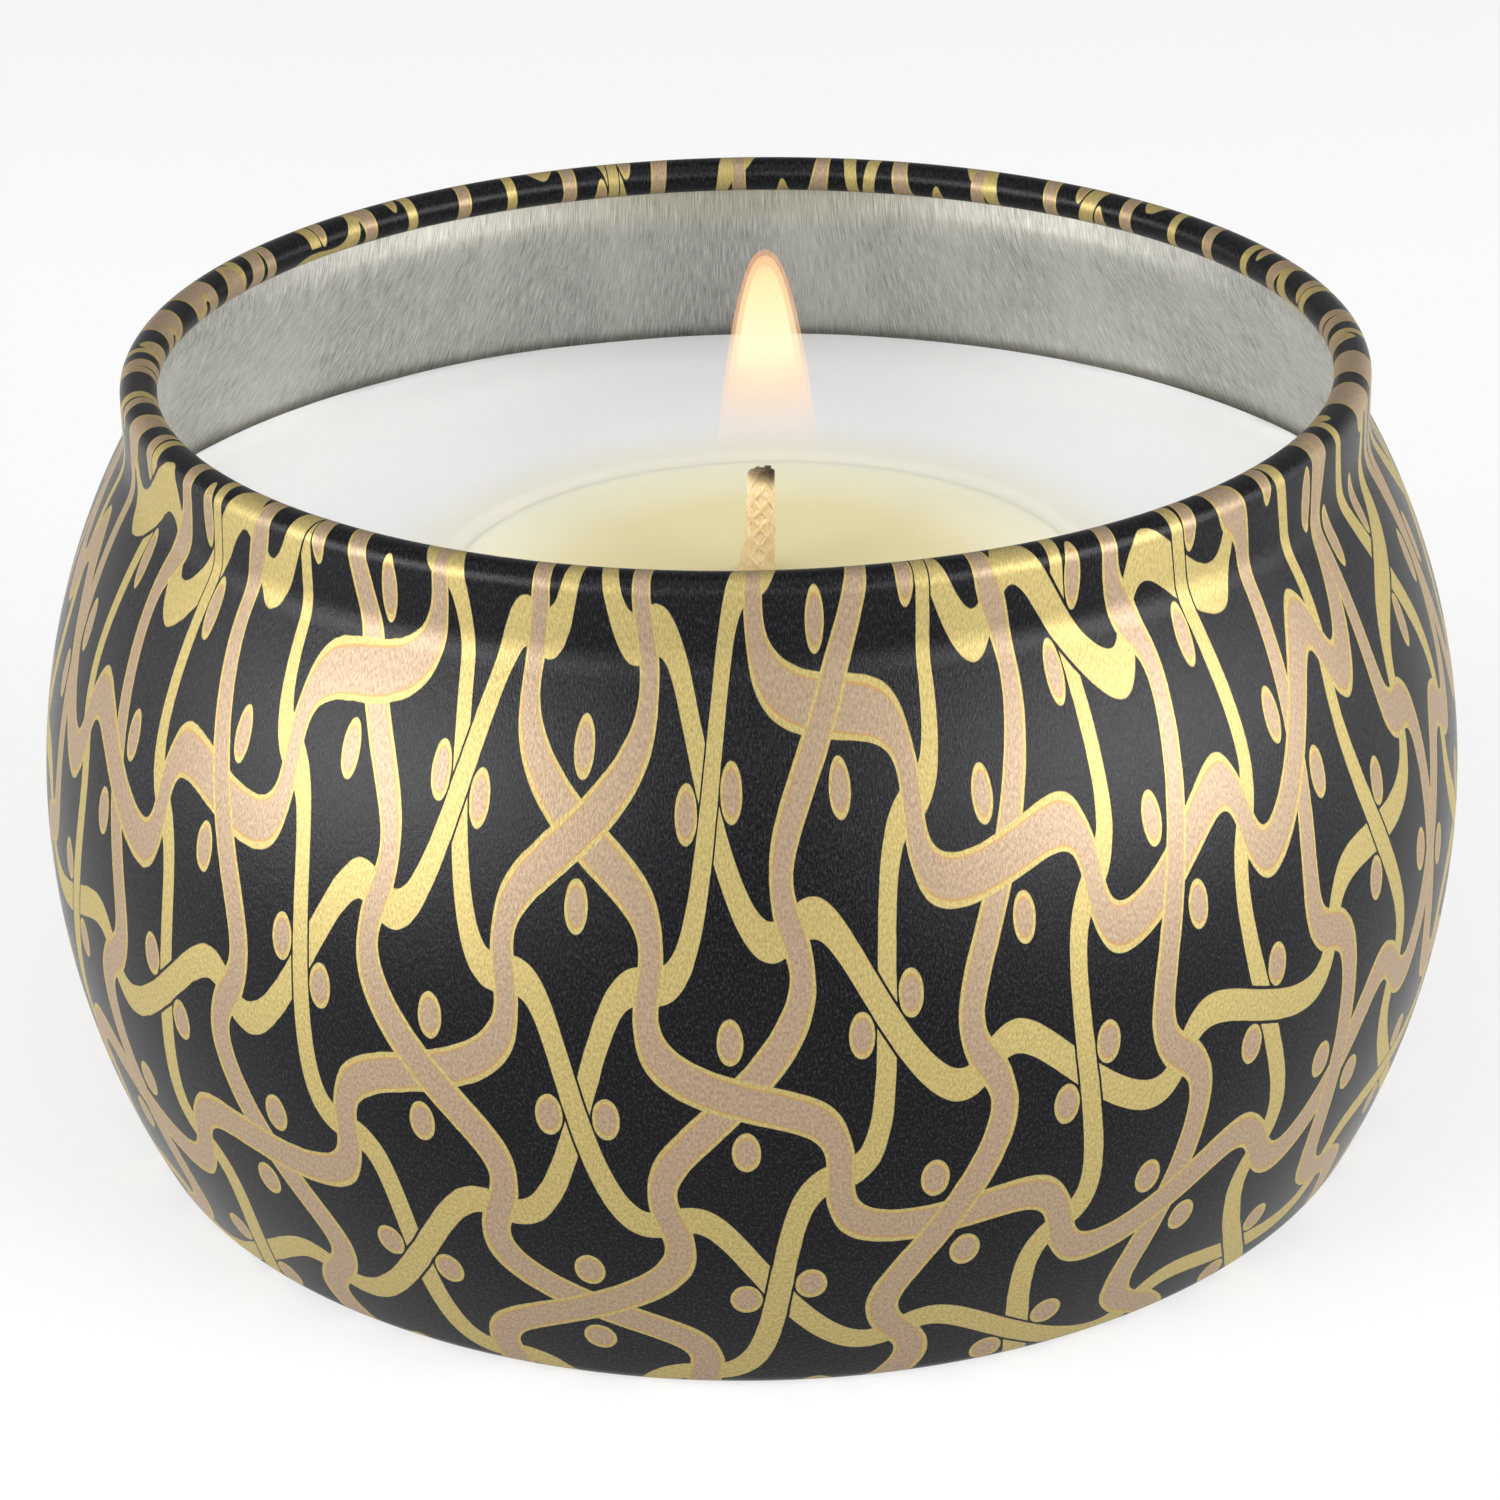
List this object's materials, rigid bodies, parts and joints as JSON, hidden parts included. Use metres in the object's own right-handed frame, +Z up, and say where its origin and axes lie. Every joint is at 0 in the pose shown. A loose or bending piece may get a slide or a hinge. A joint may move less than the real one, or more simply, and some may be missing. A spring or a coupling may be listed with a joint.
{
  "type": "candle tin",
  "caption": "Poured wax candle in a round-bellied drawn tin with an upright neck and an inward-curled rim, with a cotton wick in a melted pool.",
  "frame": {"origin": "on the tin's axis, in the plane that its foot ring stands on", "axes": "+Z up along the tin's axis; the wick leans slightly towards +X"},
  "size_m": [0.079, 0.079, 0.0444],
  "materials": {
    "printed_tinplate": "satin",
    "foam_adhesive": "matte",
    "stamped_steel": "satin",
    "cotton_braid": "matte",
    "wax": "satin",
    "melted_wax": "gloss"
  },
  "bodies": {
    "root": {"tin_body": "printed_tinplate", "adhesive_disc": "foam_adhesive", "wick_tab": "stamped_steel", "wick": "cotton_braid", "set_wax": "wax", "melt_pool": "melted_wax"}
  },
  "joints": []
}
